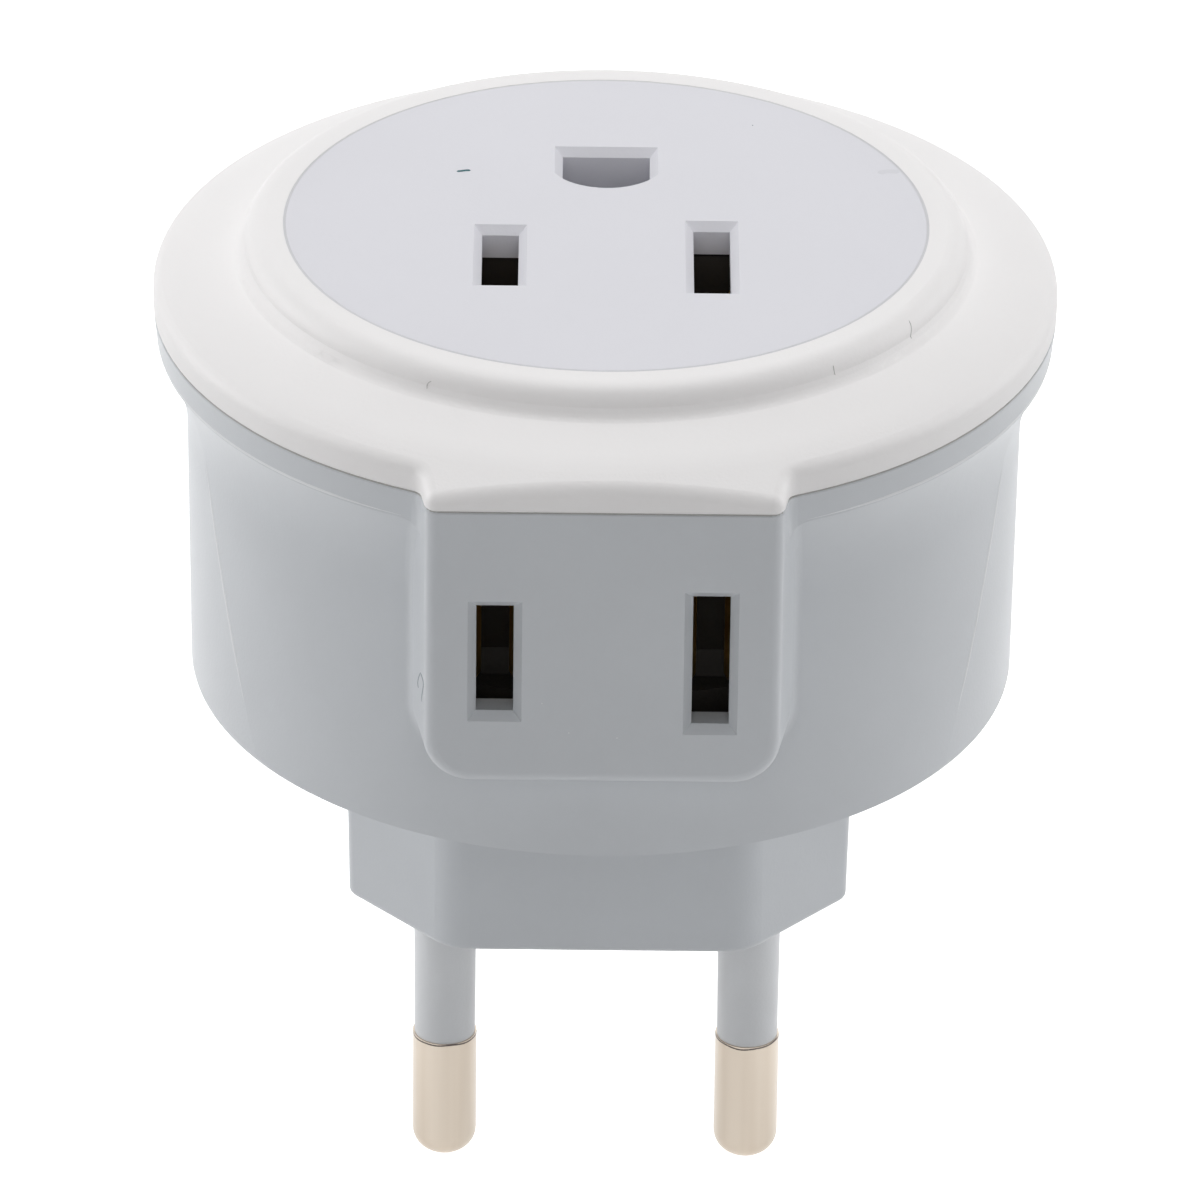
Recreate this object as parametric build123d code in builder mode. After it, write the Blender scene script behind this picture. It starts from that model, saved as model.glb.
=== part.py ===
from build123d import *
import math
import os

# Plug adapter: a two-pin round plug below a drum with three flat-blade outlets.
# All sizes are millimetres. The origin is the middle of the plug's engagement face,
# between the pins. Z points up to the top outlet, and the front outlet faces -Y.

# Plug pins and their sleeves
pin_spacing = 19.0
pin_length = 19.0
pin_diameter = 4.0
pin_tip_radius = 1.5
pin_neck_diameter = 3.0
pin_head_diameter = 4.8
pin_head_height = 1.0
sleeve_length = 10.4
sleeve_diameter = 3.8
sleeve_draft = 0.0055
sleeve_collar_step = 0.035
sleeve_collar_length = 1.2
sleeve_seat_depth = 1.5

# Plug base, a tapered hexagon with rounded corners
base_height = 16.8
base_end_margin = 5.95
base_half_depth = 8.0
base_corner_inset = 6.25
base_side_half = 1.3
base_front_radius = 3.0
base_side_radius = 1.0
base_draft = 0.3
base_edge_radius = 0.5
base_floor = 3.0
pin_boss_height = 5.0
pin_boss_radius = 3.2

# Drum wall, flare and rim band
wall = 1.8
rim_radius = 27.31
drum_height = 24.5
drum_draft = 0.0085
drum_edge_radius = 0.45
band_height = 2.0
band_taper = 0.21
flare_height = 5.8
flare_reach = 1.99
parting_chamfer = 0.12

# Side slides of the mould, which shape the drum's front and rear halves
slide_offset = 0.62
slide_spread = 0.217

# Outlet boxes at the front and the rear
outlet_proud = 0.09
outlet_side_margin = 2.25
outlet_side_angle = 10.0
outlet_height = 18.2
outlet_corner_radius = 2.8
outlet_edge_radius = 0.8
outlet_root_radius = 1.0
outlet_wall = 1.9
outlet_drop = 9.93

# Blade slots, the longer one on the neutral side
blade_spacing = 12.7
blade_thickness = 1.5
slot_width = 2.2
slot_chamfer = 0.5
line_slot = 7.05
neutral_slot = 8.55
top_slot_centre = -4.51

# Top cover with its raised ring, sloping flange and steeper skirt out to the lobes
cover_height = 5.2
flange_width = 5.21
flange_fall = 0.95
skirt_width = 1.51
skirt_angle = 25.6
skirt_blend = 7.0
cover_edge_radius = 0.9
ring_height = 1.8
ring_slope_width = 1.5
ring_shoulder = 1.2
ring_foot_fillet = 0.7
ring_land = 1.18
ledge_width = 1.92
ledge_thickness = 1.5
spigot_depth = 1.8
spigot_wall = 1.2
cover_post_radius = 2.8

# Socket face and its ground tube
face_thickness = 2.0
face_edge_chamfer = 0.12
ground_half_width = 2.65
ground_far = 9.65
ground_near = 5.05
ground_side = 6.64
ground_tube_wall = 1.1
ground_depth = 22.4
ground_tube_floor = 1.2
hook_count = 4
hook_first_angle = 30.0
hook_width = 4.0
hook_thickness = 1.2
hook_barb = 0.8

# Cover screws and their bosses
screw_head_diameter = 5.2
screw_head_height = 1.7
screw_shank_diameter = 2.6
screw_length = 14.0
screw_cross_width = 0.8
screw_cross_length = 3.0
screw_cross_depth = 1.0
screw_boss_radius = 4.0
screw_boss_drop = 1.0
screw_inset = 4.38

# Blade clips, bus bars and rivets
clip_sheet = 0.4
clip_length = 16.0
clip_width = 6.0
clip_half_gap = 1.8
clip_pinch = 2.2
clip_shoulder = 5.0
clip_bend_radius = 0.6
clip_behind_face = 0.6
clip_spacing = 2.2
bar_sheet = 0.6
bar_width = 5.0
bar_arm_end = 3.0
bar_foot_reach = 2.3
bar_leg_inset = 3.5
bar_joggle_drop = 2.5
bar_joggle_height = 3.5
bar_bend_radius = 1.0
bar_corner_radius = 1.5
rivet_diameter = 1.6
rivet_head_diameter = 2.8
rivet_head_height = 0.4
rivet_inset = 4.55

# Contact carrier and insulating barrier
carrier_deck = 2.0
carrier_edge_gap = 0.6
carrier_seat_height = 1.8
carrier_seat_inset = 4.95
carrier_rail = 1.2
carrier_rail_height = 9.0
carrier_rail_reach = 16.0
carrier_stop = 0.9
carrier_post_radius = 2.0
carrier_post_inset = 2.58
carrier_post_count = 4
carrier_post_angle = 45.0
barrier_thickness = 1.4
barrier_above = 11.0
barrier_below = 15.0
barrier_post_gap = 1.7
barrier_rear = 2.4
barrier_tongue_front = 5.5

# Clearances between pieces
fit_clearance = 0.05
gap_clearance = 0.3

# Plug base and pins, from the sizes above
pin_x = pin_spacing / 2
base_half_width = pin_x + base_end_margin
base_front_half = base_half_width - base_corner_inset
pin_boss_top = base_floor + pin_boss_height

# Heights and radii of the drum
drum_floor = base_height + wall
drum_bottom = base_height - wall
parting_height = base_height + drum_height
band_bottom = parting_height - band_height
flare_start = band_bottom - flare_height
band_lip_radius = rim_radius - band_taper
drum_top_radius = rim_radius - flare_reach
drum_bottom_radius = drum_top_radius - drum_draft * (flare_start - base_height)
slide_radius = drum_top_radius + slide_spread
cavity_radius = drum_bottom_radius - wall
mouth_radius = rim_radius - wall

# Cover and socket face
top_height = parting_height + cover_height
ring_foot_height = top_height - ring_height
ring_foot_radius = rim_radius - flange_width
ring_flat_radius = ring_foot_radius - ring_slope_width
face_radius = ring_flat_radius - ring_land
face_bottom = top_height - face_thickness
ledge_radius = face_radius - ledge_width
ledge_bottom = face_bottom - ledge_thickness
hook_outer = ledge_radius - 2 * fit_clearance
hook_bottom = ledge_bottom - fit_clearance - 2 * hook_barb
spigot_inner = mouth_radius - fit_clearance - spigot_wall
skirt_radius = rim_radius - skirt_width
flange_slope = flange_fall / (skirt_radius - ring_foot_radius)
flange_drop = flange_slope * (spigot_inner - ring_foot_radius)

# Outlet boxes, slots and the metal behind them
blade_x = blade_spacing / 2
bar_x = blade_x + clip_half_gap + (clip_sheet + bar_sheet) / 2
outlet_reach = rim_radius + outlet_proud
outlet_face_half = blade_x + clip_half_gap + outlet_side_margin
outlet_bottom = parting_height - outlet_height
outlet_centre = parting_height - outlet_drop
clip_top_mouth = face_bottom - clip_behind_face
clip_side_mouth = outlet_reach - outlet_wall - gap_clearance
side_clip_length = clip_side_mouth + top_slot_centre - clip_width / 2 - clip_spacing
clip_back = clip_side_mouth - side_clip_length - clip_sheet / 2
side_rivet_reach = clip_side_mouth - side_clip_length + rivet_inset
rivet_places = [-side_rivet_reach, top_slot_centre, side_rivet_reach]
seat_width = 2 * clip_half_gap - clip_sheet

# Carrier, screws and barrier
deck_top = outlet_centre - clip_width / 2 - carrier_seat_height
deck_bottom = deck_top - carrier_deck
deck_radius = cavity_radius - carrier_edge_gap
carrier_post_circle = cavity_radius - carrier_post_inset
screw_circle_radius = cavity_radius - screw_inset
screw_seat = drum_floor + wall
screw_boss_top = deck_bottom - screw_boss_drop
barrier_front = screw_circle_radius - cover_post_radius - barrier_post_gap

# End of the cover's skirt, past the lobes' corners
skirt_end = math.hypot(outlet_reach, outlet_face_half) + wall
skirt_drop = (skirt_end - skirt_radius) * math.tan(math.radians(skirt_angle))

# Line side at -X and neutral side at +X, front outlet at -Y and rear outlet at +Y
sides = {"line": -1, "neutral": 1}
ends = {"front": -1, "rear": 1}
screw_places = [(0, -screw_circle_radius), (0, screw_circle_radius)]


def plug_outline(grow):
    """The plug base's six-sided outline, grown outwards."""
    half_width = base_half_width + grow
    half_depth = base_half_depth + grow
    with BuildSketch() as outline:
        Polygon(
            (half_width, -base_side_half),
            (half_width, base_side_half),
            (base_front_half, half_depth),
            (-base_front_half, half_depth),
            (-half_width, base_side_half),
            (-half_width, -base_side_half),
            (-base_front_half, -half_depth),
            (base_front_half, -half_depth),
            align=None,
        )
        side_corners = outline.vertices().filter_by(lambda v: abs(v.X) > base_front_half + 1)
        fillet(side_corners, base_side_radius)
        front_corners = outline.vertices().filter_by(
            lambda v: abs(abs(v.X) - base_front_half) < fit_clearance
        )
        fillet(front_corners, base_front_radius)
    return outline.sketch


def wall_profile(bottom_radius, top_radius, lip_radius):
    """Half section of the drum: rounded bottom edge, drafted wall and flare up to the band."""
    with BuildSketch() as section:
        with BuildLine():
            bottom = Line((0, base_height), (bottom_radius, base_height))
            side = Line(bottom @ 1, (top_radius, flare_start))
            flare = TangentArc(side @ 1, (lip_radius, band_bottom), tangent=side % 1)
            Polyline(flare @ 1, (0, band_bottom), (0, base_height))
        make_face()
        corner = section.vertices().sort_by_distance((bottom_radius, base_height))[0]
        fillet(corner, drum_edge_radius)
    return section.sketch


def slide_profile(radius, lip_radius):
    """Half section of the space a side slide leaves, past the drum at both ends."""
    with BuildSketch() as section:
        with BuildLine():
            bottom = Line((0, drum_bottom), (radius, drum_bottom))
            side = Line(bottom @ 1, (radius, flare_start))
            flare = TangentArc(side @ 1, (lip_radius, band_bottom), tangent=side % 1)
            Polyline(flare @ 1, (lip_radius, parting_height), (0, parting_height), (0, drum_bottom))
        make_face()
    return section.sketch


def outlet_plan(inset):
    """Plan of the front outlet box, wider towards the drum."""
    depth = outlet_reach / 2
    root_half = outlet_face_half + depth * math.tan(math.radians(outlet_side_angle))
    with BuildSketch() as plan:
        Polygon(
            (-outlet_face_half, -outlet_reach),
            (outlet_face_half, -outlet_reach),
            (root_half, -outlet_reach + depth),
            (-root_half, -outlet_reach + depth),
            align=None,
        )
        if inset:
            offset(amount=-inset, kind=Kind.INTERSECTION)
    return plan.sketch


def ground_outline(grow):
    """The D-shaped ground hole, round towards the blade slots."""
    with BuildSketch() as outline:
        with BuildLine():
            Polyline(
                (-ground_half_width, ground_side),
                (-ground_half_width, ground_far),
                (ground_half_width, ground_far),
                (ground_half_width, ground_side),
            )
            ThreePointArc(
                (ground_half_width, ground_side),
                (0, ground_near),
                (-ground_half_width, ground_side),
            )
        make_face()
        if grow:
            offset(amount=grow, kind=Kind.INTERSECTION)
    return outline.sketch


def on_box_root(edge):
    """Whether an edge lies where an outlet box meets the drum, below the parting line."""
    points = [edge.position_at(share) for share in (0.1, 0.5, 0.9)]
    widest = outlet_face_half + outlet_reach * math.tan(math.radians(outlet_side_angle))
    taper = math.tan(math.radians(outlet_side_angle))
    on_drum = all(cavity_radius < math.hypot(p.X, p.Y) < rim_radius for p in points)
    on_side = all(abs(abs(p.X) + abs(p.Y) * taper - widest) < fit_clearance for p in points)
    on_bottom = all(
        p.Z < outlet_bottom + outlet_corner_radius and abs(p.X) < widest and p.Z > drum_floor
        for p in points
    )
    return on_drum and (on_side or on_bottom) and points[1].Z < parting_height - fit_clearance


def blade_slots(plane, depth):
    """Tools for a pair of blade slots with chamfered mouths, cut down into the plane."""
    with BuildPart() as tools:
        for side, length in ((-1, line_slot), (1, neutral_slot)):
            with BuildSketch(plane):
                with Locations((side * blade_x, 0)):
                    Rectangle(slot_width, length)
            extrude(amount=-depth)
            with BuildSketch(plane):
                with Locations((side * blade_x, 0)):
                    Rectangle(slot_width + 2 * slot_chamfer, length + 2 * slot_chamfer)
            extrude(amount=-slot_chamfer, taper=45)
    return tools.part


def outlet_face_plane(end):
    """Plane on the face of the front or rear outlet box, at the middle of its slots."""
    return Plane(origin=(0, end * outlet_reach, outlet_centre), x_dir=(1, 0, 0), z_dir=(0, end, 0))


def sleeve_radius(height):
    """Radius of the drafted pin sleeve, which narrows towards the pin's tip."""
    return sleeve_diameter / 2 + sleeve_draft * (height + sleeve_length)


def collar_radius(height):
    """Radius of the sleeve's collar, which runs up into its seat in the plug base."""
    return sleeve_radius(height) + sleeve_collar_step


# Pins, turned and plated, with a reduced neck under the sleeve and a riveted head inside.
# The sleeves are moulded with draft, as their mould opens along the pins.
pins = {}
sleeves = {}
for side_name, side in (("left", -1), ("right", 1)):
    pin_plane = Plane(origin=(side * pin_x, 0, 0), x_dir=(1, 0, 0), z_dir=(0, -1, 0))
    pin_axis = Axis((side * pin_x, 0, 0), (0, 0, 1))
    head_bottom = pin_boss_top + bar_sheet
    head_top = head_bottom + pin_head_height
    with BuildPart() as plug_pin:
        with BuildSketch(pin_plane) as pin_section:
            Polygon(
                (0, -pin_length),
                (pin_diameter / 2, -pin_length),
                (pin_diameter / 2, -sleeve_length),
                (pin_neck_diameter / 2, -sleeve_length),
                (pin_neck_diameter / 2, head_bottom),
                (pin_head_diameter / 2, head_bottom),
                (pin_head_diameter / 2, head_top),
                (0, head_top),
                align=None,
            )
        revolve(axis=pin_axis)
        fillet(plug_pin.edges().group_by(Axis.Z)[0], pin_tip_radius)
        fillet(plug_pin.edges().group_by(Axis.Z)[-1], pin_head_height / 2)
    pins[side_name] = plug_pin

    with BuildPart() as pin_sleeve:
        with BuildSketch(pin_plane):
            Polygon(
                (pin_neck_diameter / 2 + fit_clearance, -sleeve_length),
                (sleeve_radius(-sleeve_length), -sleeve_length),
                (sleeve_radius(-sleeve_collar_length), -sleeve_collar_length),
                (collar_radius(-sleeve_collar_length), -sleeve_collar_length),
                (collar_radius(sleeve_seat_depth), sleeve_seat_depth),
                (pin_neck_diameter / 2 + fit_clearance, sleeve_seat_depth),
                align=None,
            )
        revolve(axis=pin_axis)
    sleeves[side_name] = pin_sleeve


# Drum shape left by the two side slides, each a little wider and set back from the axis
slides = {}
for end_name, end in ends.items():
    slide_lip = band_lip_radius + slide_radius - drum_top_radius
    with BuildPart() as slide:
        with BuildSketch(Plane.XZ.offset(end * slide_offset)):
            add(slide_profile(slide_radius, slide_lip))
        revolve(axis=Axis((0, -end * slide_offset, 0), (0, 0, 1)))
    slides[end_name] = slide

# Front outlet box as a block with its rounded lower corners and face edge
with BuildPart() as outlet_block:
    with BuildSketch(Plane.XY.offset(outlet_bottom)):
        add(outlet_plan(0))
    extrude(amount=parting_height - outlet_bottom)
    bottom_face = outlet_block.faces().sort_by(Axis.Z)[0]
    lower_corners = bottom_face.edges().filter_by(lambda e: abs(e.tangent_at(0.5).Y) > 0.9)
    fillet(lower_corners, outlet_corner_radius)
    front_face = outlet_block.faces().sort_by(Axis.Y)[0]
    face_edges = front_face.edges().filter_by(lambda e: e.center().Z < parting_height - fit_clearance)
    fillet(face_edges, outlet_edge_radius)

# Hollow inside of the housing: drum, mouth for the cover's spigot, outlet boxes and plug base
with BuildPart() as housing_cavity:
    with BuildSketch(Plane.XZ):
        Polygon(
            (0, drum_floor),
            (cavity_radius, drum_floor),
            (cavity_radius, band_bottom - wall),
            (mouth_radius, band_bottom),
            (mouth_radius, parting_height + wall),
            (0, parting_height + wall),
            align=None,
        )
    revolve(axis=Axis.Z)
    with BuildSketch(Plane.XY.offset(outlet_bottom + wall)):
        add(outlet_plan(outlet_wall))
        mirror(about=Plane.XZ)
    extrude(amount=parting_height - outlet_bottom)
    with BuildSketch(Plane.XY.offset(base_floor)):
        add(plug_outline(-wall))
    with BuildSketch(Plane.XY.offset(drum_floor + fit_clearance)):
        add(plug_outline(base_draft - wall))
    loft()

# Housing: one moulded shell with the pin, screw and carrier bosses inside
with BuildPart() as housing:
    with BuildSketch(Plane.XZ):
        add(wall_profile(drum_bottom_radius, drum_top_radius, band_lip_radius))
    revolve(axis=Axis.Z)
    for slide in slides.values():
        add(slide.part, mode=Mode.INTERSECT)
    with BuildSketch(Plane.XZ):
        Polygon(
            (0, band_bottom),
            (band_lip_radius, band_bottom),
            (rim_radius, parting_height),
            (0, parting_height),
            align=None,
        )
    revolve(axis=Axis.Z)
    add(outlet_block.part)
    add(outlet_block.part.mirror(Plane.XZ))
    root_edges = housing.edges().filter_by(on_box_root)
    fillet(root_edges, outlet_root_radius)
    rim_edges = housing.edges().group_by(Axis.Z)[-1]
    chamfer(rim_edges, parting_chamfer)
    with BuildSketch(Plane.XY):
        add(plug_outline(0))
    with BuildSketch(Plane.XY.offset(base_height)):
        add(plug_outline(base_draft))
    loft()
    fillet(housing.faces().sort_by(Axis.Z)[0].outer_wire().edges(), base_edge_radius)
    add(housing_cavity.part, mode=Mode.SUBTRACT)
    with BuildSketch(Plane.XY.offset(base_floor)):
        for side in sides.values():
            with Locations((side * pin_x, 0)):
                Circle(pin_boss_radius)
    extrude(amount=pin_boss_height)
    with BuildSketch(Plane.XY):
        for side in sides.values():
            with Locations((side * pin_x, 0)):
                Circle(pin_neck_diameter / 2 + fit_clearance)
    extrude(amount=pin_boss_top, mode=Mode.SUBTRACT)
    with BuildSketch(Plane.XY):
        for side in sides.values():
            with Locations((side * pin_x, 0)):
                Circle(collar_radius(0) + fit_clearance)
    sleeve_taper = math.degrees(math.atan(sleeve_draft))
    extrude(amount=sleeve_seat_depth, taper=-sleeve_taper, mode=Mode.SUBTRACT)
    with BuildSketch(Plane.XY.offset(drum_floor)):
        for end in ends.values():
            with Locations((0, end * screw_circle_radius)):
                Circle(screw_boss_radius)
            with Locations((0, end * (screw_circle_radius + screw_boss_radius))):
                Rectangle(2 * screw_boss_radius, 2 * screw_boss_radius)
        Circle(cavity_radius + fit_clearance, mode=Mode.INTERSECT)
    extrude(amount=screw_boss_top - drum_floor)
    with BuildSketch(Plane.XY.offset(drum_floor)):
        with PolarLocations(carrier_post_circle, carrier_post_count, carrier_post_angle):
            Circle(carrier_post_radius)
    extrude(amount=deck_bottom - drum_floor)
    with BuildSketch(Plane.XY.offset(drum_bottom)):
        for end in ends.values():
            with Locations((0, end * screw_circle_radius)):
                Circle(screw_head_diameter / 2 + gap_clearance)
    extrude(amount=screw_seat - drum_bottom, mode=Mode.SUBTRACT)
    with BuildSketch(Plane.XY.offset(drum_bottom)):
        for end in ends.values():
            with Locations((0, end * screw_circle_radius)):
                Circle(screw_shank_diameter / 2 + gap_clearance)
    extrude(amount=screw_boss_top - drum_bottom, mode=Mode.SUBTRACT)
    for end in ends.values():
        add(blade_slots(outlet_face_plane(end), 2 * outlet_wall), mode=Mode.SUBTRACT)

# Cover: flange with a lobe over each outlet box, raised ring, spigot and screw posts
with BuildPart() as top_cover:
    with BuildSketch(Plane.XY.offset(parting_height)) as rim_plan:
        Circle(rim_radius)
        add(outlet_plan(0))
        mirror(outlet_plan(0), about=Plane.XZ)
        face_corners = rim_plan.vertices().filter_by(
            lambda v: abs(abs(v.Y) - outlet_reach) < fit_clearance
        )
        fillet(face_corners, outlet_edge_radius)
        root_corners = rim_plan.vertices().filter_by(
            lambda v: abs(math.hypot(v.X, v.Y) - rim_radius) < fit_clearance
            and abs(v.X) > outlet_face_half
        )
        fillet(root_corners, outlet_root_radius)
    extrude(amount=top_height - parting_height)
    with BuildSketch(Plane.XZ) as cover_section:
        with BuildLine():
            flat = Line((0, top_height), (ring_flat_radius, top_height))
            shoulder = TangentArc(
                flat @ 1,
                (ring_flat_radius + ring_shoulder, top_height - ring_shoulder),
                tangent=flat % 1,
            )
            foot = Line(shoulder @ 1, (ring_foot_radius, ring_foot_height))
            flange = Line(foot @ 1, (skirt_radius, ring_foot_height - flange_fall))
            skirt = Line(flange @ 1, (skirt_end, ring_foot_height - flange_fall - skirt_drop))
            Polyline(skirt @ 1, (skirt_end, drum_bottom), (0, drum_bottom), (0, top_height))
        make_face()
        foot_corner = cover_section.vertices().sort_by_distance(foot @ 1)[0]
        fillet(foot_corner, ring_foot_fillet)
        skirt_corner = cover_section.vertices().sort_by_distance(flange @ 1)[0]
        fillet(skirt_corner, skirt_blend)
    revolve(axis=Axis.Z, mode=Mode.INTERSECT)
    upper_edges = top_cover.edges().filter_by(
        lambda e: math.hypot(e.center().X, e.center().Y) > rim_radius - outlet_edge_radius
        and e.center().Z > parting_height + cover_edge_radius / 2
        and abs(e.tangent_at(0.5).Z) < 0.9
    )
    fillet(upper_edges, cover_edge_radius)
    chamfer(top_cover.faces().sort_by(Axis.Z)[0].outer_wire().edges(), parting_chamfer)
    with BuildSketch(Plane.XZ):
        Polygon(
            (0, parting_height),
            (spigot_inner, parting_height),
            (spigot_inner, ledge_bottom - flange_drop),
            (ring_foot_radius, ledge_bottom),
            (0, ledge_bottom),
            align=None,
        )
    revolve(axis=Axis.Z, mode=Mode.SUBTRACT)
    with BuildSketch(Plane.XY.offset(ledge_bottom)):
        Circle(ledge_radius)
    extrude(amount=top_height - ledge_bottom, mode=Mode.SUBTRACT)
    with BuildSketch(Plane.XY.offset(face_bottom)):
        Circle(face_radius + fit_clearance)
    extrude(amount=face_thickness, mode=Mode.SUBTRACT)
    with BuildSketch(Plane.XY.offset(parting_height - spigot_depth)):
        Circle(mouth_radius - fit_clearance)
        Circle(spigot_inner, mode=Mode.SUBTRACT)
    extrude(amount=spigot_depth)
    with BuildSketch(Plane.XY.offset(screw_boss_top)):
        for end in ends.values():
            with Locations((0, end * screw_circle_radius)):
                Circle(cover_post_radius)
    extrude(amount=face_bottom - screw_boss_top)
    with BuildSketch(Plane.XY.offset(screw_boss_top)):
        for end in ends.values():
            with Locations((0, end * screw_circle_radius)):
                Circle(screw_shank_diameter / 2 + fit_clearance)
    extrude(amount=screw_length, mode=Mode.SUBTRACT)

# Socket face: disc with blade slots, ground hole with its blind tube, and four snap hooks
with BuildPart() as socket_face:
    with BuildSketch(Plane.XY.offset(face_bottom)):
        Circle(face_radius)
    extrude(amount=face_thickness)
    chamfer(socket_face.edges().group_by(Axis.Z)[-1], face_edge_chamfer)
    with BuildSketch(Plane.XY.offset(top_height - ground_depth - ground_tube_floor)):
        add(ground_outline(ground_tube_wall))
    extrude(amount=ground_depth + ground_tube_floor - face_thickness)
    with BuildSketch(Plane.XY.offset(top_height)):
        add(ground_outline(0))
    extrude(amount=-ground_depth, mode=Mode.SUBTRACT)
    with BuildSketch(Plane.XY.offset(top_height)):
        add(ground_outline(slot_chamfer))
    extrude(amount=-slot_chamfer, taper=45, mode=Mode.SUBTRACT)
    top_slots = Plane(origin=(0, top_slot_centre, top_height), x_dir=(1, 0, 0), z_dir=(0, 0, 1))
    add(blade_slots(top_slots, 2 * face_thickness), mode=Mode.SUBTRACT)
    for number in range(hook_count):
        turned = hook_first_angle + number * 360 / hook_count
        hook_start = Plane.XZ.rotated((0, 0, turned))
        with BuildSketch(hook_start):
            Polygon(
                (hook_outer - hook_thickness, face_bottom),
                (hook_outer, face_bottom),
                (hook_outer, ledge_bottom - fit_clearance),
                (hook_outer + hook_barb, ledge_bottom - fit_clearance),
                (hook_outer, hook_bottom),
                (hook_outer - hook_thickness, hook_bottom),
                align=None,
            )
        revolve(axis=Axis.Z, revolution_arc=math.degrees(hook_width / hook_outer))


def blade_clip(origin, side, mouth, length):
    """One sprung blade clip, bent from strip, open towards the mouth direction."""
    across = Vector(side, 0, 0)
    clip_plane = Plane(origin=origin, x_dir=across, z_dir=across.cross(Vector(mouth)))
    pinch_half = (blade_thickness + clip_sheet) / 2 + fit_clearance
    flared_half = clip_half_gap - fit_clearance
    with BuildPart() as clip:
        with BuildSketch(clip_plane):
            with BuildLine():
                FilletPolyline(
                    (flared_half, 0),
                    (pinch_half, -clip_pinch),
                    (clip_half_gap, -clip_shoulder),
                    (clip_half_gap, -length),
                    (-clip_half_gap, -length),
                    (-clip_half_gap, -clip_shoulder),
                    (-pinch_half, -clip_pinch),
                    (-flared_half, 0),
                    radius=clip_bend_radius,
                )
            trace(line_width=clip_sheet)
        extrude(amount=clip_width / 2, both=True)
        rivet_y = {0: top_slot_centre, -1: -side_rivet_reach, 1: side_rivet_reach}[mouth[1]]
        with BuildSketch(Plane.YZ.offset(side * bar_x)):
            with Locations((rivet_y, outlet_centre)):
                Circle(rivet_diameter / 2 + fit_clearance)
        extrude(amount=clip_half_gap / 2, both=True, mode=Mode.SUBTRACT)
    return clip.part


# Six brass clips, one behind each blade slot
clips = {}
for side_name, side in sides.items():
    top_origin = (side * blade_x, top_slot_centre, clip_top_mouth)
    clips[f"top_clip_{side_name}"] = blade_clip(top_origin, side, (0, 0, 1), clip_length)
    for end_name, end in ends.items():
        end_origin = (side * blade_x, end * clip_side_mouth, outlet_centre)
        side_clip = blade_clip(end_origin, side, (0, end, 0), side_clip_length)
        clips[f"{end_name}_clip_{side_name}"] = side_clip

# Bus bars: a leg from the pin's head up to a cross arm that carries three clips
bus_bars = {}
for side_name, side in sides.items():
    bar_plane = Plane(origin=(0, 0, 0), x_dir=(side, 0, 0), z_dir=(0, -side, 0))
    foot_height = pin_boss_top + bar_sheet / 2
    leg_x = pin_x - bar_leg_inset
    joggle_top = deck_bottom - bar_joggle_drop
    with BuildPart() as bus_bar:
        with BuildSketch(bar_plane):
            with BuildLine():
                FilletPolyline(
                    (pin_x + bar_foot_reach, foot_height),
                    (leg_x, foot_height),
                    (leg_x, joggle_top - bar_joggle_height),
                    (bar_x, joggle_top),
                    (bar_x, outlet_centre + bar_width / 2),
                    radius=bar_bend_radius,
                )
            trace(line_width=bar_sheet)
        extrude(amount=bar_width / 2, both=True)
        with BuildSketch(Plane.YZ.offset(side * bar_x)):
            with Locations((0, outlet_centre)):
                RectangleRounded(2 * (side_rivet_reach + bar_arm_end), bar_width, bar_corner_radius)
        extrude(amount=bar_sheet / 2, both=True)
        with BuildSketch(Plane.XY.offset(pin_boss_top)):
            with Locations((side * pin_x, 0)):
                Circle(pin_neck_diameter / 2 + fit_clearance)
        extrude(amount=bar_sheet, mode=Mode.SUBTRACT)
        with BuildSketch(Plane.YZ.offset(side * bar_x)):
            with Locations(*[(y, outlet_centre) for y in rivet_places]):
                Circle(rivet_diameter / 2 + fit_clearance)
        extrude(amount=bar_sheet, both=True, mode=Mode.SUBTRACT)
    bus_bars[f"{side_name}_bus_bar"] = bus_bar.part

# Clip rivets, closed from the outside of the bus bars
with BuildPart() as clip_rivets:
    clip_face = clip_half_gap - clip_sheet / 2 + blade_x
    bar_face = bar_x + bar_sheet / 2
    for side in sides.values():
        with BuildSketch(Plane.YZ.offset(side * clip_face)):
            with Locations(*[(y, outlet_centre) for y in rivet_places]):
                Circle(rivet_diameter / 2)
        extrude(amount=side * (bar_face - clip_face))
        with BuildSketch(Plane.YZ.offset(side * clip_face)):
            with Locations(*[(y, outlet_centre) for y in rivet_places]):
                Circle(rivet_head_diameter / 2)
        extrude(amount=-side * rivet_head_height)
        with BuildSketch(Plane.YZ.offset(side * bar_face)):
            with Locations(*[(y, outlet_centre) for y in rivet_places]):
                Circle(rivet_head_diameter / 2)
        extrude(amount=side * rivet_head_height)

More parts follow.
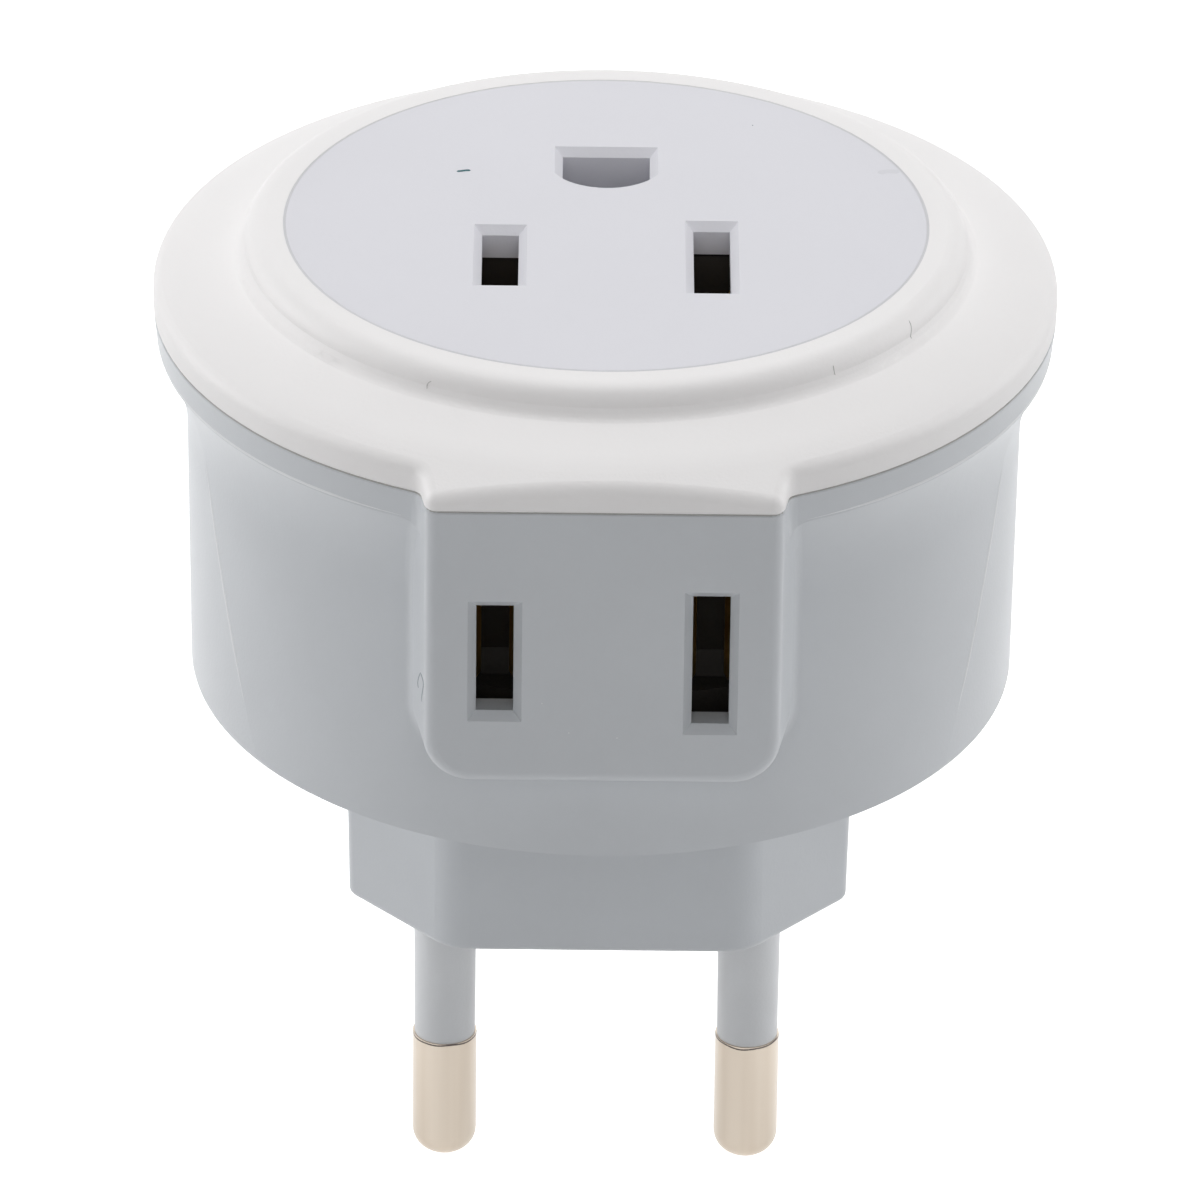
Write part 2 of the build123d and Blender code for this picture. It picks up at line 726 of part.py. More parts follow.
# Contact carrier: deck on the housing's posts, columns, rails, seats, stops and back walls
seat_reach = clip_side_mouth - carrier_seat_inset
with BuildPart() as contact_carrier:
    with BuildSketch(Plane.XY.offset(deck_bottom)):
        Circle(deck_radius)
        for end in ends.values():
            with Locations((0, end * screw_circle_radius)):
                Circle(cover_post_radius + gap_clearance, mode=Mode.SUBTRACT)
            with Locations((0, end * (screw_circle_radius + screw_boss_radius))):
                post_notch = 2 * (cover_post_radius + gap_clearance)
                Rectangle(post_notch, 2 * screw_boss_radius, mode=Mode.SUBTRACT)
        for side in sides.values():
            with Locations((side * bar_x, 0)):
                Rectangle(
                    bar_sheet + 2 * gap_clearance,
                    bar_width + 2 * gap_clearance,
                    mode=Mode.SUBTRACT,
                )
        add(ground_outline(ground_tube_wall + gap_clearance), mode=Mode.SUBTRACT)
        with Locations((0, (barrier_rear - barrier_tongue_front) / 2)):
            Rectangle(
                barrier_thickness + 2 * fit_clearance,
                barrier_rear + barrier_tongue_front + 2 * fit_clearance,
                mode=Mode.SUBTRACT,
            )
    extrude(amount=carrier_deck)
    with BuildSketch(Plane.XY.offset(deck_top)):
        with PolarLocations(carrier_post_circle, carrier_post_count, carrier_post_angle):
            Circle(carrier_post_radius)
    extrude(amount=ledge_bottom - gap_clearance - deck_top)
    with BuildSketch(Plane.XY.offset(deck_top)):
        rail_x = bar_x + bar_sheet / 2 + rivet_head_height + gap_clearance + carrier_rail / 2
        with Locations((rail_x, 0), (-rail_x, 0)):
            Rectangle(carrier_rail, 2 * carrier_rail_reach)
        Circle(deck_radius, mode=Mode.INTERSECT)
    extrude(amount=carrier_rail_height)
    with BuildSketch(Plane.XY.offset(deck_top)):
        for side in sides.values():
            with Locations((side * blade_x, top_slot_centre)):
                Rectangle(seat_width, clip_width)
    extrude(amount=clip_top_mouth - clip_length - clip_sheet / 2 - deck_top)
    with BuildSketch(Plane.XY.offset(deck_top)):
        for side in sides.values():
            for end in ends.values():
                with Locations((side * blade_x, end * (clip_back + seat_reach) / 2)):
                    Rectangle(seat_width, seat_reach - clip_back)
        Circle(deck_radius, mode=Mode.INTERSECT)
    extrude(amount=outlet_centre - clip_width / 2 - deck_top)
    with BuildSketch(Plane.XY.offset(deck_top)):
        for side in sides.values():
            for end in ends.values():
                with Locations((side * blade_x, end * (clip_back - carrier_stop / 2))):
                    Rectangle(seat_width, carrier_stop)
    extrude(amount=outlet_centre - deck_top)
    with BuildSketch(Plane.XY.offset(deck_top)):
        back_wall_y = top_slot_centre + neutral_slot / 2 + gap_clearance + carrier_rail / 2
        with Locations((blade_x, back_wall_y), (-blade_x, back_wall_y)):
            Rectangle(seat_width, carrier_rail)
    extrude(amount=face_bottom - gap_clearance - deck_top)

# Insulating barrier between line and neutral, hung on the deck by its front shoulder
with BuildPart() as insulating_barrier:
    with BuildSketch(Plane.YZ):
        Polygon(
            (-barrier_front, deck_top),
            (-barrier_tongue_front, deck_top),
            (-barrier_tongue_front, deck_bottom - barrier_below),
            (barrier_rear, deck_bottom - barrier_below),
            (barrier_rear, deck_top + barrier_above),
            (-barrier_front, deck_top + barrier_above),
            align=None,
        )
    extrude(amount=barrier_thickness / 2, both=True)

# Cover screws, driven from below through the housing's bosses
with BuildPart() as cover_screws:
    with BuildSketch(Plane.XY.offset(screw_seat - screw_head_height)):
        with Locations(*screw_places):
            Circle(screw_head_diameter / 2)
    extrude(amount=screw_head_height)
    with BuildSketch(Plane.XY.offset(screw_seat)):
        with Locations(*screw_places):
            Circle(screw_shank_diameter / 2)
    extrude(amount=screw_length)
    with BuildSketch(Plane.XY.offset(screw_seat - screw_head_height)):
        with Locations(*screw_places):
            Rectangle(screw_cross_width, screw_cross_length)
            Rectangle(screw_cross_length, screw_cross_width)
    extrude(amount=screw_cross_depth, mode=Mode.SUBTRACT)

pieces = {
    "housing": housing.part,
    "top_cover": top_cover.part,
    "socket_face": socket_face.part,
    "clip_rivets": clip_rivets.part,
    "contact_carrier": contact_carrier.part,
    "insulating_barrier": insulating_barrier.part,
    "cover_screws": cover_screws.part,
}
for side_name in pins:
    pieces[f"plug_pin_{side_name}"] = pins[side_name].part
    pieces[f"pin_sleeve_{side_name}"] = sleeves[side_name].part
pieces.update(bus_bars)
pieces.update(clips)

os.makedirs("parts", exist_ok=True)
for name, piece in pieces.items():
    piece.label = name
    export_step(piece, f"parts/{name}.step")
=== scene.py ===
import math

import bpy
from mathutils import Matrix, Vector
from mathutils.bvhtree import BVHTree


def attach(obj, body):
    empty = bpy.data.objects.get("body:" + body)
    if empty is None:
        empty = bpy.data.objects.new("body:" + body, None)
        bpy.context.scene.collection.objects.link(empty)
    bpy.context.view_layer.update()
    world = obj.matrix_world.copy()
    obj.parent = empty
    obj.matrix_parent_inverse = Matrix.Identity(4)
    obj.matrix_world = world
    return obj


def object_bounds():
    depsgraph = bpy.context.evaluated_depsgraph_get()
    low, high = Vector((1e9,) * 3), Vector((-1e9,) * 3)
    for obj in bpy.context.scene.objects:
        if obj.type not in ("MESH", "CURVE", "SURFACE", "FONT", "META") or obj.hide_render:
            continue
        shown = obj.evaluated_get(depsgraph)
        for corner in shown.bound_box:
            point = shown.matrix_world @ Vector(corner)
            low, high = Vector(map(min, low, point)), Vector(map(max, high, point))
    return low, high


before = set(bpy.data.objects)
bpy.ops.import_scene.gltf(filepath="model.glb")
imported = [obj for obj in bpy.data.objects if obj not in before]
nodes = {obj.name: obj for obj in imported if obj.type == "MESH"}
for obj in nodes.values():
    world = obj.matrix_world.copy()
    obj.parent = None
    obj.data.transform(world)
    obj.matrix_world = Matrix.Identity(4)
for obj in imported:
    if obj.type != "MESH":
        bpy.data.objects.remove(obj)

cad_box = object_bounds()

# Housing: the lower shell, with the plug base and the outlet boxes in one moulding.
# Light grey polycarbonate with a faint blue cast, injection moulded in an eroded tool,
# so its outside has a fine even grain and a dull sheen.
housing_grey = (0.552, 0.574, 0.602, 1.0)


def moulded_plastic(name, colour, roughness=0.5, grain=0.000012, scatter=0.05, mottle=0.02):
    """Satin moulded plastic with a fine tool grain and faint flow marks in its colour."""
    material = bpy.data.materials.new(name)
    material.use_nodes = True
    tree = material.node_tree
    shader = tree.nodes["Principled BSDF"]
    shader.inputs["IOR"].default_value = 1.50
    shader.inputs["Subsurface Weight"].default_value = scatter
    shader.inputs["Subsurface Radius"].default_value = (0.0012, 0.0012, 0.0012)
    shader.inputs["Subsurface Scale"].default_value = 1.0
    place = tree.nodes.new("ShaderNodeTexCoord")

    flow = tree.nodes.new("ShaderNodeTexNoise")
    flow.inputs["Scale"].default_value = 90.0
    flow.inputs["Detail"].default_value = 4.0
    tree.links.new(place.outputs["Object"], flow.inputs["Vector"])
    tint = tree.nodes.new("ShaderNodeMapRange")
    tint.inputs["From Min"].default_value = 0.3
    tint.inputs["From Max"].default_value = 0.7
    tint.inputs["To Min"].default_value = 1.0 - mottle
    tint.inputs["To Max"].default_value = 1.0 + mottle
    tree.links.new(flow.outputs["Fac"], tint.inputs["Value"])
    shade = tree.nodes.new("ShaderNodeMix")
    shade.data_type = "RGBA"
    shade.blend_type = "MULTIPLY"
    shade.inputs["Factor"].default_value = 1.0
    shade.inputs["A"].default_value = colour
    tree.links.new(tint.outputs["Result"], shade.inputs["B"])
    tree.links.new(shade.outputs["Result"], shader.inputs["Base Color"])

    fine = tree.nodes.new("ShaderNodeTexNoise")
    fine.inputs["Scale"].default_value = 5200.0
    fine.inputs["Detail"].default_value = 2.0
    tree.links.new(place.outputs["Object"], fine.inputs["Vector"])
    dull = tree.nodes.new("ShaderNodeMapRange")
    dull.inputs["To Min"].default_value = roughness - 0.05
    dull.inputs["To Max"].default_value = roughness + 0.05
    tree.links.new(fine.outputs["Fac"], dull.inputs["Value"])
    tree.links.new(dull.outputs["Result"], shader.inputs["Roughness"])
    bump = tree.nodes.new("ShaderNodeBump")
    bump.inputs["Strength"].default_value = 1.0
    bump.inputs["Distance"].default_value = grain
    tree.links.new(fine.outputs["Fac"], bump.inputs["Height"])
    tree.links.new(bump.outputs["Normal"], shader.inputs["Normal"])
    return material


def finish_node(node, material):
    """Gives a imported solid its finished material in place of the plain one."""
    solid = nodes[node]
    solid.data.materials.clear()
    solid.data.materials.append(material)


housing_plastic = moulded_plastic("HousingGrey", housing_grey, roughness=0.38)
finish_node("housing", housing_plastic)

# Mould lines: four fine raised lines that slant down the drum's sides, where the slides of
# the mould met. The same plastic as the housing, coloured paler as a painted highlight.
drum_reach = 0.0253
line_foot = 0.0204
line_rise = 0.0139
line_steps = 28
crease_height = 0.0335
crease_along = 0.00859
crease_slant = 0.347
line_width = 0.0003
line_height = 0.00003


def surface_of(node):
    """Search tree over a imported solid, for laying fine pieces on its surface."""
    mesh = nodes[node].data
    corners = [vertex.co for vertex in mesh.vertices]
    return BVHTree.FromPolygons(corners, [face.vertices[:] for face in mesh.polygons])


def raised_line(name, surface, route, width, height, material):
    """A fine raised line along a solid's surface, thinning out at both ends."""
    tip_share = 0.15
    tip_rate = 5.0
    crest_share = 0.4
    places = [surface.find_nearest(Vector(point))[:2] for point in route]
    last = len(places) - 1
    corners = []
    for step, (spot, outward) in enumerate(places):
        ahead = places[min(step + 1, last)][0] - places[max(step - 1, 0)][0]
        full = min(1.0, tip_share + tip_rate * min(step, last - step) / last)
        half = outward.cross(ahead).normalized() * width / 2 * full
        foot = spot - outward * height / 2
        crest = spot + outward * height * full
        shoulder = half * crest_share
        corners += [foot - half, crest - shoulder, crest + shoulder, foot + half]
    faces = []
    for step in range(last):
        for lane in range(3):
            near = 4 * step + lane
            faces.append((near, near + 1, near + 5, near + 4))
    mesh = bpy.data.meshes.new(name)
    mesh.from_pydata(corners, [], faces)
    mesh.shade_smooth()
    mesh.materials.append(material)
    line = bpy.data.objects.new(name, mesh)
    bpy.context.scene.collection.objects.link(line)
    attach(line, "root")


# A paler copy of the housing's grey: a painted highlight for the mould lines and the rim lip.
highlight_grey = moulded_plastic("PaintedHighlightGrey", (0.720, 0.735, 0.755, 1.0), roughness=0.42)
housing_surface = surface_of("housing")
for side, side_name in ((-1, "left"), (1, "right")):
    for end, end_name in ((-1, "front"), (1, "rear")):
        route = []
        for step in range(line_steps + 1):
            height = line_foot + line_rise * step / line_steps
            along = crease_along + crease_slant * (crease_height - height)
            across = math.sqrt(drum_reach**2 - along**2)
            route.append((side * across, end * along, height))
        raised_line(f"mould_line_{end_name}_{side_name}", housing_surface, route,
                    line_width, line_height, highlight_grey)

# Rim lip: the moulded corner along the foot of the rim band, in four lengths between the
# outlet boxes. It is the housing's own plastic, coloured paler as a painted highlight on
# the corner, so it reads as a thin bright line.
lip_height = 0.03944
lip_reach = 0.02725
lip_sweep = 64.0
lip_steps = 60
lip_width = 0.00024
lip_relief = 0.00002
for end, end_name in ((-1, "front"), (1, "rear")):
    for side, side_name in ((-1, "left"), (1, "right")):
        route = []
        for step in range(lip_steps + 1):
            bearing = math.radians(lip_sweep * step / lip_steps)
            outward = Vector((side * math.cos(bearing), end * math.sin(bearing), 0.0))
            route.append(outward * lip_reach + Vector((0.0, 0.0, lip_height)))
        raised_line(f"rim_lip_{end_name}_{side_name}", housing_surface, route,
                    lip_width, lip_relief, highlight_grey)

# Cover joint: painted shade in the groove where the cover meets the housing.
# A thin dull grey line all the way round, just inside the two chamfered edges.
joint_height = 0.04127
joint_steps = 720
joint_width = 0.00012
joint_relief = 0.00001
well_outside = 0.05
joint_shade = moulded_plastic("JointShade", (0.400, 0.395, 0.385, 1.0), roughness=0.8,
                             scatter=0.0)
route = []
for step in range(joint_steps + 1):
    bearing = math.tau * step / joint_steps
    inward = Vector((math.sin(bearing), -math.cos(bearing), 0.0))
    start = Vector((0.0, 0.0, joint_height)) - inward * well_outside
    route.append(housing_surface.ray_cast(start, inward)[0])
raised_line("cover_joint_shade", housing_surface, route,
            joint_width, joint_relief, joint_shade)

# Pin sleeves: grey insulating tubes over the upper half of each pin.
# Moulded straight on to the pin, in a plastic paler than the housing's and about as glossy.
sleeve_grey = moulded_plastic("SleeveGrey", (0.715, 0.730, 0.750, 1.0), roughness=0.40)
for side in ("left", "right"):
    finish_node(f"pin_sleeve_{side}", sleeve_grey)

# Plug pins: 4 mm round brass, turned, nickel plated and riveted into the housing.
# The lathe leaves fine rings round each pin, and use leaves faint lengthwise rubs.
pin_metal = bpy.data.materials.new("NickelPlate")
pin_metal.use_nodes = True
pin_tree = pin_metal.node_tree
pin_shader = pin_tree.nodes["Principled BSDF"]
pin_shader.inputs["Metallic"].default_value = 1.0
pin_place = pin_tree.nodes.new("ShaderNodeTexCoord")
pin_stretch = pin_tree.nodes.new("ShaderNodeMapping")
pin_stretch.inputs["Scale"].default_value = (150.0, 150.0, 2600.0)
pin_tree.links.new(pin_place.outputs["Object"], pin_stretch.inputs["Vector"])
pin_rings = pin_tree.nodes.new("ShaderNodeTexNoise")
pin_rings.inputs["Scale"].default_value = 1.0
pin_rings.inputs["Detail"].default_value = 3.0
pin_tree.links.new(pin_stretch.outputs["Vector"], pin_rings.inputs["Vector"])
pin_dull = pin_tree.nodes.new("ShaderNodeMapRange")
pin_dull.inputs["To Min"].default_value = 0.272
pin_dull.inputs["To Max"].default_value = 0.282
pin_tree.links.new(pin_rings.outputs["Fac"], pin_dull.inputs["Value"])
pin_tree.links.new(pin_dull.outputs["Result"], pin_shader.inputs["Roughness"])
pin_along = pin_tree.nodes.new("ShaderNodeMapping")
pin_along.inputs["Scale"].default_value = (900.0, 900.0, 30.0)
pin_tree.links.new(pin_place.outputs["Object"], pin_along.inputs["Vector"])
pin_rubs = pin_tree.nodes.new("ShaderNodeTexNoise")
pin_rubs.inputs["Scale"].default_value = 1.0
pin_rubs.inputs["Detail"].default_value = 2.0
pin_tree.links.new(pin_along.outputs["Vector"], pin_rubs.inputs["Vector"])
pin_colour = pin_tree.nodes.new("ShaderNodeValToRGB")
pin_colour.color_ramp.elements[0].position = 0.3
pin_colour.color_ramp.elements[0].color = (0.535, 0.465, 0.388, 1.0)
pin_colour.color_ramp.elements[1].position = 0.7
pin_colour.color_ramp.elements[1].color = (0.575, 0.508, 0.432, 1.0)
pin_tree.links.new(pin_rubs.outputs["Fac"], pin_colour.inputs["Fac"])
pin_tree.links.new(pin_colour.outputs["Color"], pin_shader.inputs["Base Color"])
for side in ("left", "right"):
    finish_node(f"plug_pin_{side}", pin_metal)

# Sleeve step shade: a dark uneven line of painted shade in the step where each sleeve ends
# and the pin's full metal diameter begins.
pin_spread = 0.0095
pin_radius = 0.002
step_shade_height = -0.01050
step_shade_steps = 72
step_shade_width = 0.00014
step_shade_relief = 0.000012
step_shade = moulded_plastic("SleeveStepShade", (0.150, 0.125, 0.115, 1.0), roughness=0.7, scatter=0.0)
for side, side_name in ((-1, "left"), (1, "right")):
    pin_surface = surface_of(f"plug_pin_{side_name}")
    route = []
    for step in range(step_shade_steps + 1):
        bearing = math.tau * step / step_shade_steps
        across = side * pin_spread + pin_radius * math.sin(bearing)
        along = pin_radius * math.cos(bearing)
        wander = 0.00004 * math.sin(3 * bearing + side) + 0.00002 * math.sin(7 * bearing)
        route.append((across, along, step_shade_height + wander))
    raised_line(f"sleeve_step_shade_{side_name}", pin_surface, route,
                step_shade_width, step_shade_relief, step_shade)

# Bus bars, blade clips and rivets: the brass metalwork behind the slots.
# Stamped and bent from rolled strip, so it has a rolling grain and slightly dulled patches.
brass = bpy.data.materials.new("StripBrass")
brass.use_nodes = True
brass_tree = brass.node_tree
brass_shader = brass_tree.nodes["Principled BSDF"]
brass_shader.inputs["Metallic"].default_value = 1.0
brass_place = brass_tree.nodes.new("ShaderNodeTexCoord")
brass_cloud = brass_tree.nodes.new("ShaderNodeTexNoise")
brass_cloud.inputs["Scale"].default_value = 260.0
brass_cloud.inputs["Detail"].default_value = 4.0
brass_tree.links.new(brass_place.outputs["Object"], brass_cloud.inputs["Vector"])
brass_colour = brass_tree.nodes.new("ShaderNodeValToRGB")
brass_colour.color_ramp.elements[0].position = 0.3
brass_colour.color_ramp.elements[0].color = (0.42, 0.27, 0.08, 1.0)
brass_colour.color_ramp.elements[1].position = 0.7
brass_colour.color_ramp.elements[1].color = (0.62, 0.43, 0.15, 1.0)
brass_tree.links.new(brass_cloud.outputs["Fac"], brass_colour.inputs["Fac"])
brass_tree.links.new(brass_colour.outputs["Color"], brass_shader.inputs["Base Color"])
brass_dull = brass_tree.nodes.new("ShaderNodeMapRange")
brass_dull.inputs["To Min"].default_value = 0.25
brass_dull.inputs["To Max"].default_value = 0.50
brass_tree.links.new(brass_cloud.outputs["Fac"], brass_dull.inputs["Value"])
brass_tree.links.new(brass_dull.outputs["Result"], brass_shader.inputs["Roughness"])
for name in nodes:
    if "clip" in name or "bus_bar" in name:
        finish_node(name, brass)

# Contact carrier and insulating barrier: the plain inner mouldings that hold the metalwork.
# Dull phenolic made in a coarser tool than the housing, coloured near-black brown as painted
# shade for the inside of the slots.
inner_slot_shade = moulded_plastic("InnerSlotShade", (0.030, 0.027, 0.023, 1.0), roughness=0.62,
                             grain=0.00002)
for name in ("contact_carrier", "insulating_barrier"):
    finish_node(name, inner_slot_shade)

# Socket face: the disc set flush in the cover, with the blade slots and ground hole.
# Moulded in a cool pale grey, with a flatter sheen than the white cover round it.
face_grey = moulded_plastic("FaceGrey", (0.718, 0.717, 0.761, 1.0), roughness=0.55, mottle=0.008)
finish_node("socket_face", face_grey)

# Face joint: the hair-wide groove between the disc and the ring, filled nearly level by a
# flat ring a little darker than the disc: painted shade, so that only a faint line shows round
# the disc in place of the groove's own shadow.
groove_inner = 0.01932
groove_outer = 0.019465
groove_height = 0.046485
groove_steps = 180
face_groove_shade = moulded_plastic("FaceGrooveShade", (0.640, 0.640, 0.665, 1.0), roughness=0.7, scatter=0.0)
corners = []
faces = []
for step in range(groove_steps):
    bearing = math.tau * step / groove_steps
    for radius in (groove_inner, groove_outer):
        corners.append((radius * math.cos(bearing), radius * math.sin(bearing), groove_height))
    near, far = 2 * step, 2 * ((step + 1) % groove_steps)
    faces.append((near, near + 1, far + 1, far))
joint_mesh = bpy.data.meshes.new("face_joint_shade")
joint_mesh.from_pydata(corners, [], faces)
joint_mesh.materials.append(face_groove_shade)
joint = bpy.data.objects.new("face_joint_shade", joint_mesh)
bpy.context.scene.collection.objects.link(joint)
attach(joint, "root")

# Top cover: the white flange, raised ring and lobes, one moulding that closes the housing.
# Bright white with the faintest warm cast and a fine grain, screwed down from below.
cover_white = moulded_plastic("CoverWhite", (0.866, 0.852, 0.852, 1.0), roughness=0.50,
                              mottle=0.008)
finish_node("top_cover", cover_white)

# Cover screws: two steel self-tapping screws up through bosses in the drum floor.
# Zinc plated and tumbled, so they are a dull grey with a slightly uneven sheen.
screw_steel = bpy.data.materials.new("ScrewSteel")
screw_steel.use_nodes = True
screw_tree = screw_steel.node_tree
screw_shader = screw_tree.nodes["Principled BSDF"]
screw_shader.inputs["Metallic"].default_value = 1.0
screw_shader.inputs["Base Color"].default_value = (0.50, 0.50, 0.51, 1.0)
screw_place = screw_tree.nodes.new("ShaderNodeTexCoord")
screw_cloud = screw_tree.nodes.new("ShaderNodeTexNoise")
screw_cloud.inputs["Scale"].default_value = 900.0
screw_tree.links.new(screw_place.outputs["Object"], screw_cloud.inputs["Vector"])
screw_dull = screw_tree.nodes.new("ShaderNodeMapRange")
screw_dull.inputs["To Min"].default_value = 0.28
screw_dull.inputs["To Max"].default_value = 0.50
screw_tree.links.new(screw_cloud.outputs["Fac"], screw_dull.inputs["Value"])
screw_tree.links.new(screw_dull.outputs["Result"], screw_shader.inputs["Roughness"])
finish_node("cover_screws", screw_steel)

# Marks of use: a teal fibre, a dark speck and a faint smudge on the disc, three hairlines
# on the ring's slope, a scuff beside the front outlet and pale specks of dust on its face.
# Each one lies on the surface and stands less than a tenth of a millimetre proud.
fibre_teal = moulded_plastic("FibreTeal", (0.045, 0.140, 0.155, 1.0), roughness=0.7, scatter=0.0)
hair_grey = moulded_plastic("HairGrey", (0.560, 0.555, 0.545, 1.0), roughness=0.6, scatter=0.0)
scuff_grey = moulded_plastic("ScuffGrey", (0.270, 0.300, 0.330, 1.0), roughness=0.6, scatter=0.0)
dust_pale = moulded_plastic("DustPale", (0.780, 0.800, 0.800, 1.0), roughness=0.7, scatter=0.0)
smudge_grey = moulded_plastic("SmudgeGrey", (0.675, 0.675, 0.715, 1.0), roughness=0.6,
                              mottle=0.03)
mark_relief = 0.00003
hair_width = 0.00007
face_height = 0.0465
outlet_front = -0.0274


def eased(route):
    """The same route with its corners cut twice, so that it bends softly."""
    route = [Vector(point) for point in route]
    for _ in range(2):
        cut = [route[0]]
        for start, stop in zip(route, route[1:]):
            cut += [start.lerp(stop, 0.25), start.lerp(stop, 0.75)]
        route = cut + [route[-1]]
    return route


def speck(name, surface, place, size, material):
    """A small low dome of dust with an uneven outline."""
    edge_points = 10
    spot, outward = surface.find_nearest(Vector(place))[:2]
    aside = outward.orthogonal().normalized()
    sunk = outward * size * 0.1
    corners = [spot + outward * size * 0.4]
    faces = []
    for step in range(edge_points):
        turned = Matrix.Rotation(math.tau * step / edge_points, 3, outward) @ aside
        reach = size * (0.4 + 0.1 * math.sin(2.3 * step))
        corners.append(spot + turned * reach - sunk)
        faces.append((0, 1 + step, 1 + (step + 1) % edge_points))
    mesh = bpy.data.meshes.new(name)
    mesh.from_pydata(corners, [], faces)
    mesh.shade_smooth()
    mesh.materials.append(material)
    dust = bpy.data.objects.new(name, mesh)
    bpy.context.scene.collection.objects.link(dust)
    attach(dust, "root")


face_surface = surface_of("socket_face")
cover_surface = surface_of("top_cover")
raised_line("fibre_on_disc", face_surface,
            eased([(-0.00910, 0.00655, face_height), (-0.00880, 0.00662, face_height),
                   (-0.00850, 0.00672, face_height), (-0.00826, 0.00670, face_height)]),
            0.00020, 0.00006, fibre_teal)
speck("speck_on_disc", face_surface, (0.00896, 0.01330, face_height), 0.00014, scuff_grey)
raised_line("smudge_on_disc", face_surface,
            eased([(0.01655, 0.00695, face_height), (0.01705, 0.00725, face_height),
                   (0.01785, 0.00715, face_height)]),
            0.00065, 0.000008, smudge_grey)
raised_line("hairline_left", cover_surface,
            eased([(-0.01023, -0.01920, 0.04563), (-0.01040, -0.01913, 0.04549),
                   (-0.01050, -0.01910, 0.04531), (-0.01049, -0.01922, 0.04511)]),
            hair_width, mark_relief, hair_grey)
raised_line("hairline_middle", cover_surface,
            eased([(0.01337, -0.01706, 0.04583), (0.01342, -0.01714, 0.04556),
                   (0.01351, -0.01715, 0.04522)]),
            hair_width, mark_relief, hair_grey)
raised_line("hairline_right", cover_surface,
            eased([(0.01794, -0.01177, 0.04613), (0.01808, -0.01192, 0.04586),
                   (0.01810, -0.01208, 0.04558), (0.01805, -0.01222, 0.04535),
                   (0.01812, -0.01225, 0.04515)]),
            hair_width, mark_relief, hair_grey)
raised_line("scuff_rear", housing_surface,
            eased([(-0.01072, -0.02558, 0.02959), (-0.01085, -0.02486, 0.02882),
                   (-0.01089, -0.02461, 0.02834), (-0.01085, -0.02487, 0.02815)]),
            0.00012, mark_relief, scuff_grey)
raised_line("scuff_front", housing_surface,
            eased([(-0.01072, -0.02558, 0.02959), (-0.01059, -0.02631, 0.02964),
                   (-0.01051, -0.02678, 0.02956), (-0.01056, -0.02651, 0.02894),
                   (-0.01063, -0.02608, 0.02829), (-0.01063, -0.02609, 0.02789)]),
            0.00016, mark_relief, scuff_grey)
for name, across, height in (("left", -0.00355, 0.02861), ("middle", -0.00195, 0.02664),
                             ("right", 0.00089, 0.02633)):
    speck(f"dust_{name}", housing_surface, (across, outlet_front, height), 0.00012, dust_pale)

# Floor: a wide pale sheet that the pins' tips touch. It gives light back to the adapter's
# underside, and a glow that only the eye and mirrored rays see makes it look white.


def white_to_eye(tree, on_things, to_eye):
    """A strength for the eye and for mirrored rays, and another for light on things."""
    path = tree.nodes.new("ShaderNodeLightPath")
    seen = path.outputs["Is Camera Ray"]
    for ray in ("Is Glossy Ray", "Is Transmission Ray"):
        either = tree.nodes.new("ShaderNodeMath")
        either.operation = "MAXIMUM"
        tree.links.new(seen, either.inputs[0])
        tree.links.new(path.outputs[ray], either.inputs[1])
        seen = either.outputs["Value"]
    level = tree.nodes.new("ShaderNodeMapRange")
    level.inputs["To Min"].default_value = on_things
    level.inputs["To Max"].default_value = to_eye
    tree.links.new(seen, level.inputs["Value"])
    return level.outputs["Result"]


floor_mesh = bpy.data.meshes.new("Floor")
floor_half = 1.5
floor_height = cad_box[0][2]
floor_mesh.from_pydata(
    [(-floor_half, -floor_half, floor_height), (floor_half, -floor_half, floor_height),
     (floor_half, floor_half, floor_height), (-floor_half, floor_half, floor_height)],
    [], [(0, 1, 2, 3)])
floor = bpy.data.objects.new("Floor", floor_mesh)
bpy.context.scene.collection.objects.link(floor)
floor_white = bpy.data.materials.new("FloorWhite")
floor_white.use_nodes = True
floor_tree = floor_white.node_tree
floor_shader = floor_tree.nodes["Principled BSDF"]
floor_shader.inputs["Base Color"].default_value = (0.80, 0.80, 0.80, 1.0)
floor_shader.inputs["Roughness"].default_value = 0.9
floor_glow = floor_tree.nodes.new("ShaderNodeEmission")
floor_tree.links.new(white_to_eye(floor_tree, 0.0, 0.78), floor_glow.inputs["Strength"])
floor_sum = floor_tree.nodes.new("ShaderNodeAddShader")
floor_output = floor_tree.nodes["Material Output"]
floor_tree.links.new(floor_shader.outputs["BSDF"], floor_sum.inputs[0])
floor_tree.links.new(floor_glow.outputs["Emission"], floor_sum.inputs[1])
floor_tree.links.new(floor_sum.outputs["Shader"], floor_output.inputs["Surface"])
floor_mesh.materials.append(floor_white)

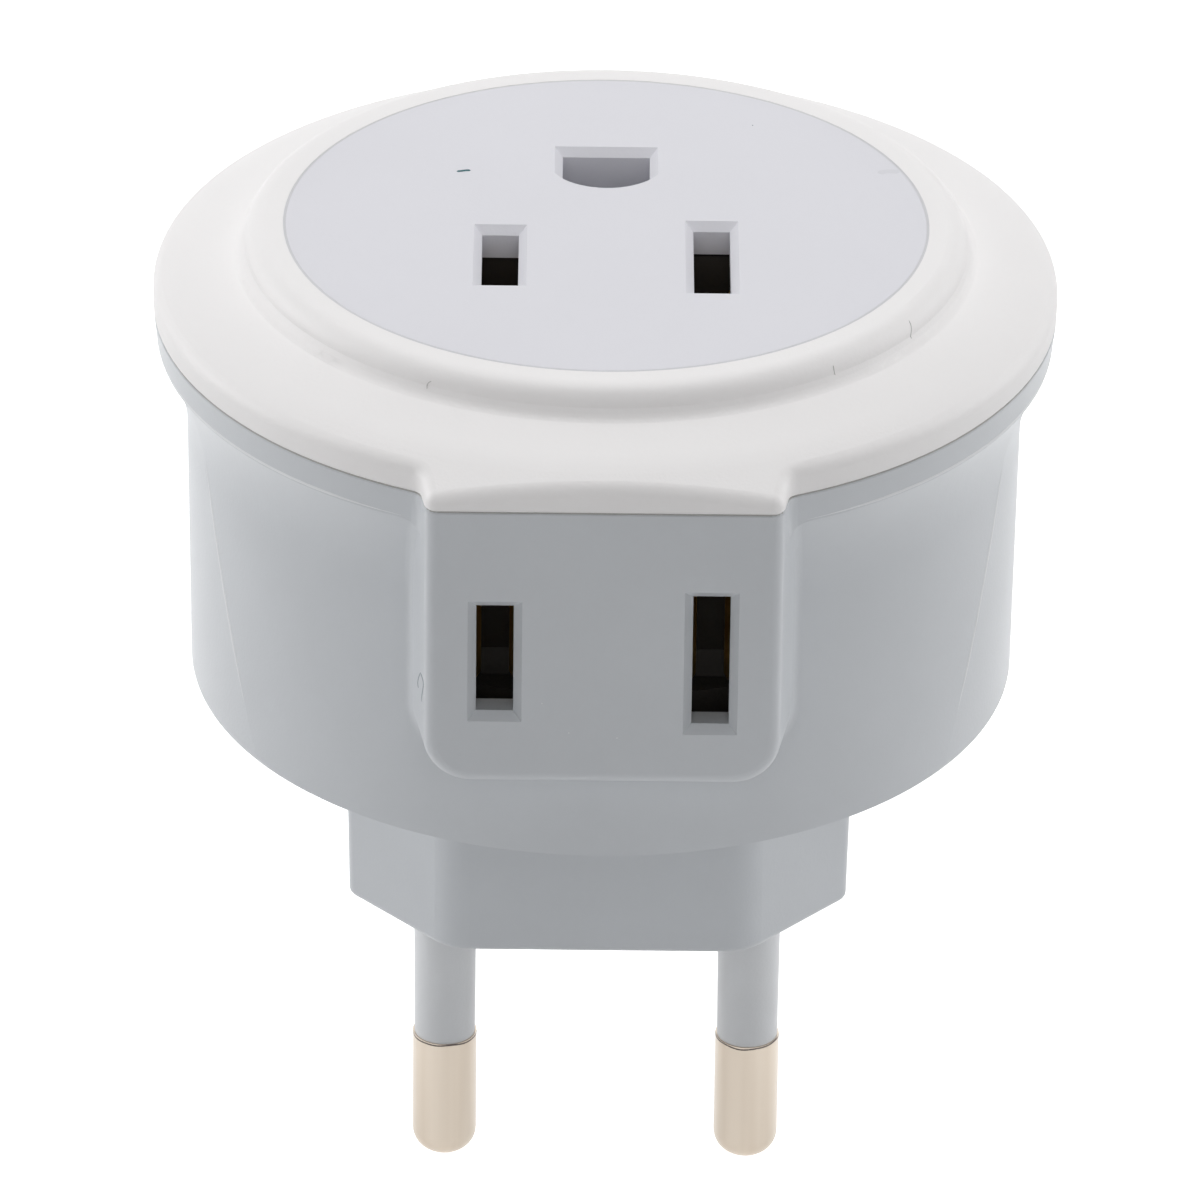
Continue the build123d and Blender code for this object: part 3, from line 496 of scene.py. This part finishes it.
# Surround: a white room that only the eye and mirrored rays see at full strength.
# It lights the adapter itself very little: the lamps do that.
world = bpy.data.worlds.new("Studio")
bpy.context.scene.world = world
world.use_nodes = True
world_tree = world.node_tree
world_back = world_tree.nodes["Background"]
world_back.inputs["Color"].default_value = (1.0, 1.0, 1.0, 1.0)
world_tree.links.new(white_to_eye(world_tree, 0.02, 1.0), world_back.inputs["Strength"])

# Lamps: five soft square ones, at both sides, above, behind and in front, all aimed at the
# adapter's middle. Their powers were chosen to match the greys in the photo.
lamp_aim = Vector((0.0, 0.0, 0.02))
lamps = (
    ("LeftLamp", (-0.42, 0.10, 0.12), 0.30, 0.94),
    ("RightLamp", (0.42, 0.10, 0.12), 0.30, 0.78),
    ("TopLamp", (0.0, 0.10, 0.50), 0.40, 1.55),
    ("BackLamp", (0.0, 0.50, 0.30), 0.40, 0.37),
    ("FrontLamp", (0.0, -0.55, 0.25), 0.40, 0.93),
)
for name, spot, width, power in lamps:
    light = bpy.data.lights.new(name, "AREA")
    light.size = width
    light.energy = power
    lamp = bpy.data.objects.new(name, light)
    lamp.location = spot
    lamp.rotation_euler = (lamp_aim - lamp.location).to_track_quat("-Z", "Y").to_euler()
    bpy.context.scene.collection.objects.link(lamp)

# Camera: a long lens, looking down on the adapter from the front at about 29 degrees.
# It is turned a little to one side and a little out of level, to fit the photo.
camera_data = bpy.data.cameras.new("Camera")
camera_data.sensor_width = 36.0
camera_data.lens = 313.83
camera = bpy.data.objects.new("Camera", camera_data)
bpy.context.scene.collection.objects.link(camera)
elevation = math.radians(28.89)
turn = math.radians(-0.273)
level = math.radians(0.732)
distance = 0.6427
target = Vector((-0.000087, 0.0, 0.02048))
aside = Matrix.Rotation(turn, 4, "Z")
back = Vector((0.0, -distance * math.cos(elevation), distance * math.sin(elevation)))
camera.matrix_world = (
    aside
    @ Matrix.Translation(target + back)
    @ Matrix.Rotation(math.pi / 2 - elevation, 4, "X")
    @ Matrix.Rotation(level, 4, "Z")
)
bpy.context.scene.camera = camera
bpy.context.scene.view_settings.view_transform = "Standard"
